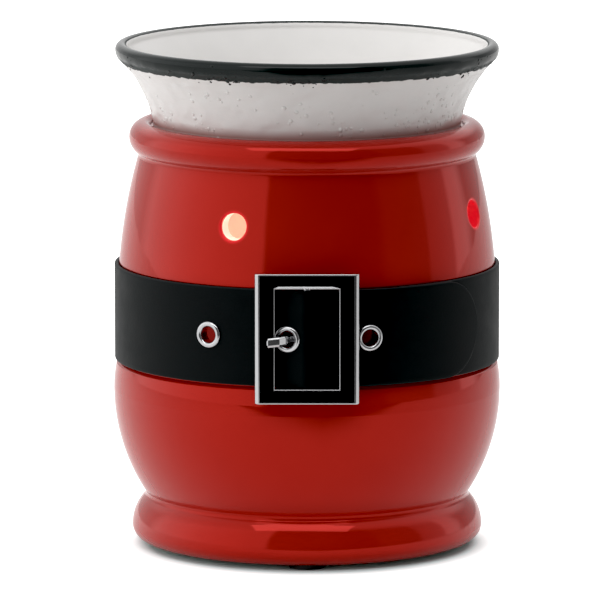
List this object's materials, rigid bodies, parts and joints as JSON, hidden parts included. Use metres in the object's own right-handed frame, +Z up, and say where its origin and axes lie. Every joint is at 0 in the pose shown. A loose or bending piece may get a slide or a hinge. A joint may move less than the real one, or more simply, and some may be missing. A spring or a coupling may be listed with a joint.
{
  "type": "electric wax warmer",
  "caption": "Barrel-shaped ceramic pot with light holes and a buckled strap; a lamp inside warms wax in the flared dish that lifts off the top.",
  "frame": {"origin": "on the pot's axis, on the surface that the foot pads stand on", "axes": "+Z up along the pot's axis, -Y towards the buckle, +X to the right of someone facing the buckle"},
  "size_m": [0.1168, 0.122, 0.152],
  "materials": {
    "red_glaze": "gloss red glaze",
    "white_glaze": "gloss white glaze, black on the rim",
    "black_leather": "smooth black strap",
    "bright_plate": "polished",
    "black_enamel": "gloss black",
    "black_rubber": "matt",
    "plated_steel": "zinc plated",
    "holder_moulding": "heat-proof moulding",
    "brass": "pressed",
    "cap_metal": "pressed",
    "cap_insulator": "black glass",
    "solder": "dull",
    "clear_glass": "clear",
    "hot_filament": "coiled wire"
  },
  "bodies": {
    "pot": {"pot_body": "red_glaze", "belt_strap": "black_leather", "belt_eyelets": "bright_plate", "buckle_frame": "bright_plate", "buckle_enamel": "black_enamel", "rubber_feet": "black_rubber", "base_plate": "plated_steel", "bridge_bracket": "plated_steel", "clamp_screws": "plated_steel", "lamp_holder_body": "holder_moulding", "holder_screw": "plated_steel", "lamp_holder_shell": "brass", "lamp_holder_contact": "brass", "terminal_screws": "brass", "cord_gland": "black_rubber"},
    "dish": {"wax_dish": "white_glaze"},
    "prong": {"buckle_prong": "bright_plate"},
    "bulb_base": {"bulb_contact": "solder", "bulb_insulator": "cap_insulator"},
    "bulb": {"bulb_cap": "cap_metal", "bulb_glass": "clear_glass", "bulb_stem": "clear_glass", "filament_supports": "plated_steel", "filament": "hot_filament"}
  },
  "joints": [
    {"name": "dish_lift", "type": "slide", "parent": "pot", "child": "dish", "axis": [0, 0, 1], "range_m": [0, 0.05]},
    {"name": "prong_swing", "type": "hinge", "parent": "pot", "child": "prong", "pos_m": [0, -0.0585, 0.0709], "axis": [0, 0, 1], "range_deg": [0, 4]},
    {"name": "bulb_rise", "type": "slide", "parent": "pot", "child": "bulb_base", "axis": [0, 0, 1], "range_m": [0, 0.0102]},
    {"name": "bulb_turn", "type": "hinge", "parent": "bulb_base", "child": "bulb", "pos_m": [0, 0, 0.0306], "axis": [0, 0, 1], "range_deg": [0, 1440]}
  ],
  "couplings": [
    {"joint": "bulb_rise", "follows": "bulb_turn", "m_per_rad": 0.00040425}
  ]
}
